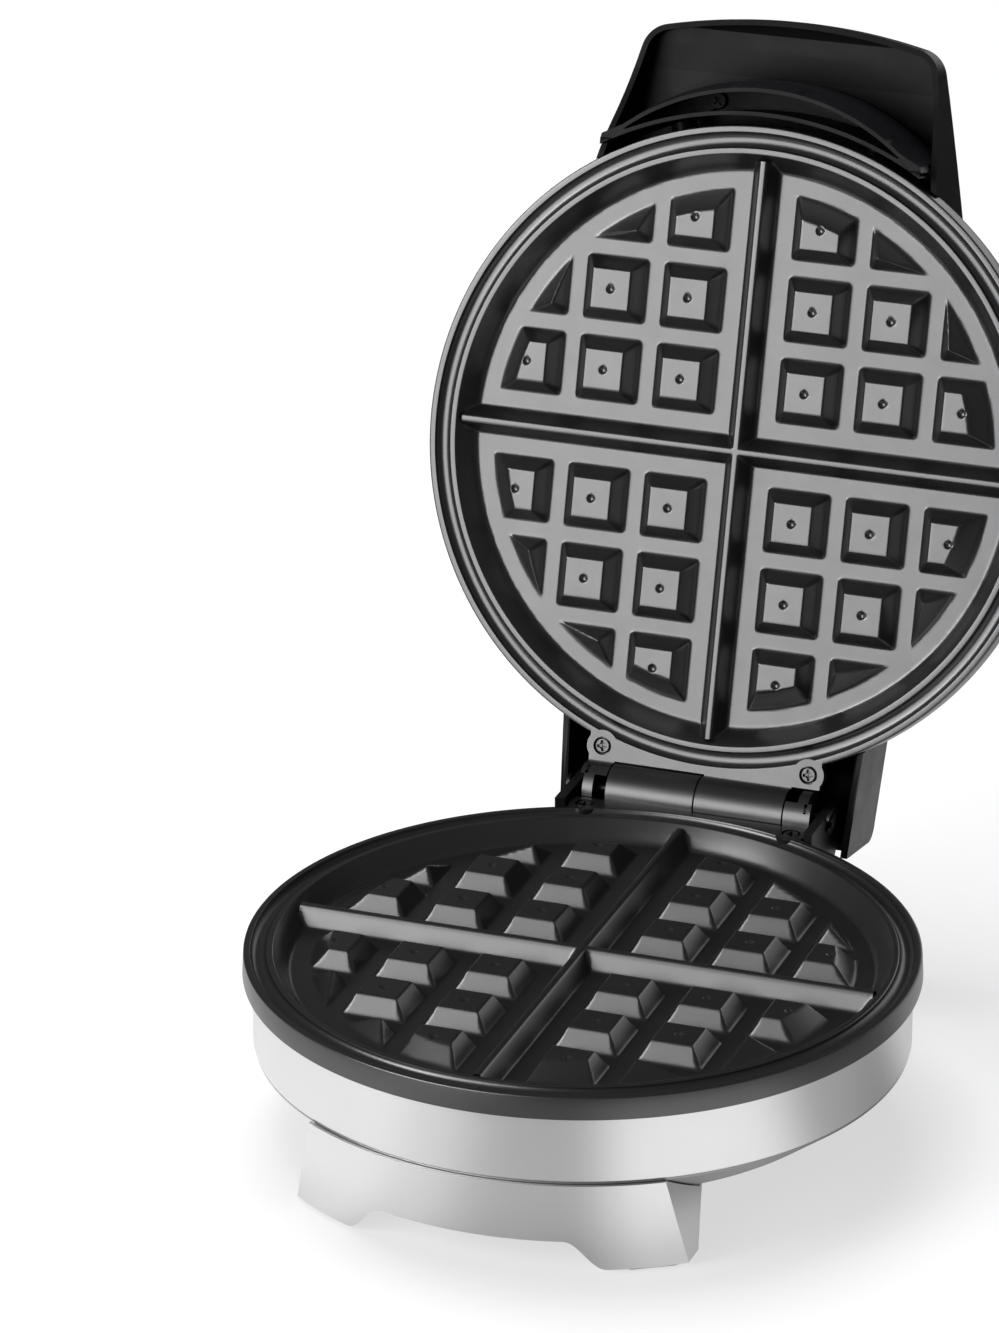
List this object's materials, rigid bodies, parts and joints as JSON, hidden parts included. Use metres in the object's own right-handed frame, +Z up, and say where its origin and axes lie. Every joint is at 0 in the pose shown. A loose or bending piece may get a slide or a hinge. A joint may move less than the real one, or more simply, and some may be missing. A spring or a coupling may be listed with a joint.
{
  "type": "waffle maker",
  "caption": "Round waffle maker with a hinged lid, two cast waffle plates parted by a cross ridge, a hooded handle and a silver drum on arched feet.",
  "frame": {"origin": "on the table, at the middle of the footprint of the four rubber pads, which is straight below the middle of the lower waffle plate", "axes": "+Z up, -Y towards the user and the handle, +Y towards the hinge, +X to the user's right; the lid is open at rest"},
  "size_m": [0.2, 0.2989, 0.2821],
  "materials": {
    "drum_silver": "satin silver lacquer",
    "pan_silver": "satin silver lacquer",
    "foot_silver": "satin silver lacquer",
    "pad_rubber": "matt",
    "screw_steel": "zinc plated",
    "plate_coating": "dark grey satin non-stick coating",
    "housing_black": "satin black",
    "screw_black": "black oxide",
    "pin_steel": "black oxide",
    "element_steel": "annealed",
    "sheet_steel": "bare sheet",
    "thermostat_metal": "bare",
    "fuse_metal": "bare",
    "terminal_plastic": "matt",
    "gland_rubber": "matt",
    "lid_black": "satin black",
    "disc_steel": "brushed",
    "handle_black": "satin black",
    "liner_black": "satin black",
    "lens_red": "clear",
    "lens_green": "clear",
    "board_green": "matt"
  },
  "bodies": {
    "base": {"base_shell": "drum_silver", "base_pan": "pan_silver", "front_foot": "foot_silver", "rear_foot": "foot_silver", "foot_pads": "pad_rubber", "foot_screws": "screw_steel", "pan_screws": "screw_steel", "lower_plate": "plate_coating", "lower_plate_screws": "screw_steel", "hinge_housing": "housing_black", "hinge_housing_screws": "screw_steel", "hinge_pin": "pin_steel", "pin_clip": "pin_steel", "lower_element": "element_steel", "lower_clamps": "sheet_steel", "lower_shield": "sheet_steel", "lower_shield_screws": "screw_steel", "thermostat": "thermostat_metal", "thermal_fuse": "fuse_metal", "terminal_block": "terminal_plastic", "cord_gland": "gland_rubber"},
    "lid": {"lid_housing": "lid_black", "lid_disc": "disc_steel", "handle": "handle_black", "handle_screws": "screw_steel", "handle_liner": "liner_black", "liner_screws": "screw_black", "upper_plate": "plate_coating", "upper_plate_screws": "screw_steel", "upper_pillar_screws": "screw_steel", "upper_element": "element_steel", "upper_clamps": "sheet_steel", "upper_shield": "sheet_steel", "upper_shield_screws": "screw_steel", "power_lens": "lens_red", "ready_lens": "lens_green", "lamp_board": "board_green"}
  },
  "joints": [
    {"name": "lid_hinge", "type": "hinge", "parent": "base", "child": "lid", "pos_m": [0, 0.1088, 0.0563], "axis": [1, 0, 0], "range_deg": [0, 105.6]}
  ]
}
